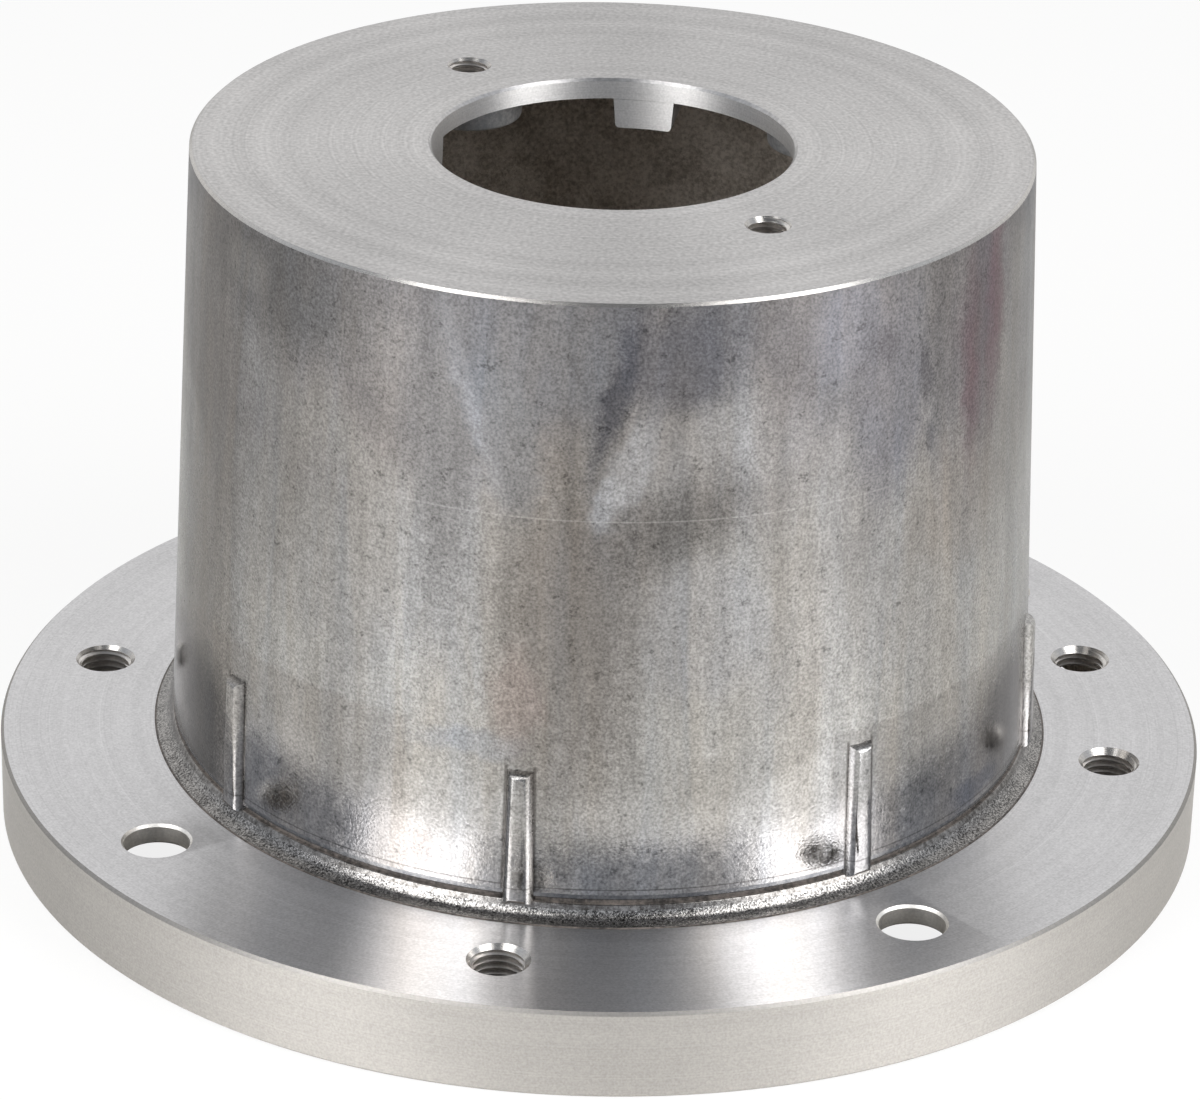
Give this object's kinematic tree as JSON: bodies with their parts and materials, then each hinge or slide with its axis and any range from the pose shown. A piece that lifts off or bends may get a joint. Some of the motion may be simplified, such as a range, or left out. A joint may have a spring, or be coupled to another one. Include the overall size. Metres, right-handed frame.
{
  "type": "pump bell housing",
  "caption": "Drafted round bell on a turned-down brim that joins a flanged hydraulic pump to a flange-mounted electric motor, with a centring bore and tapped and plain screw holes.",
  "frame": {"origin": "middle of the motor face, on the axis of the bell", "axes": "+Z along the bell's axis to the pump face, +X through one of the four tapped motor screw holes"},
  "size_m": [0.35, 0.35, 0.204],
  "materials": {
    "casting": "as cast, with turned faces"
  },
  "bodies": {
    "root": {"bell_housing": "casting"}
  },
  "joints": []
}
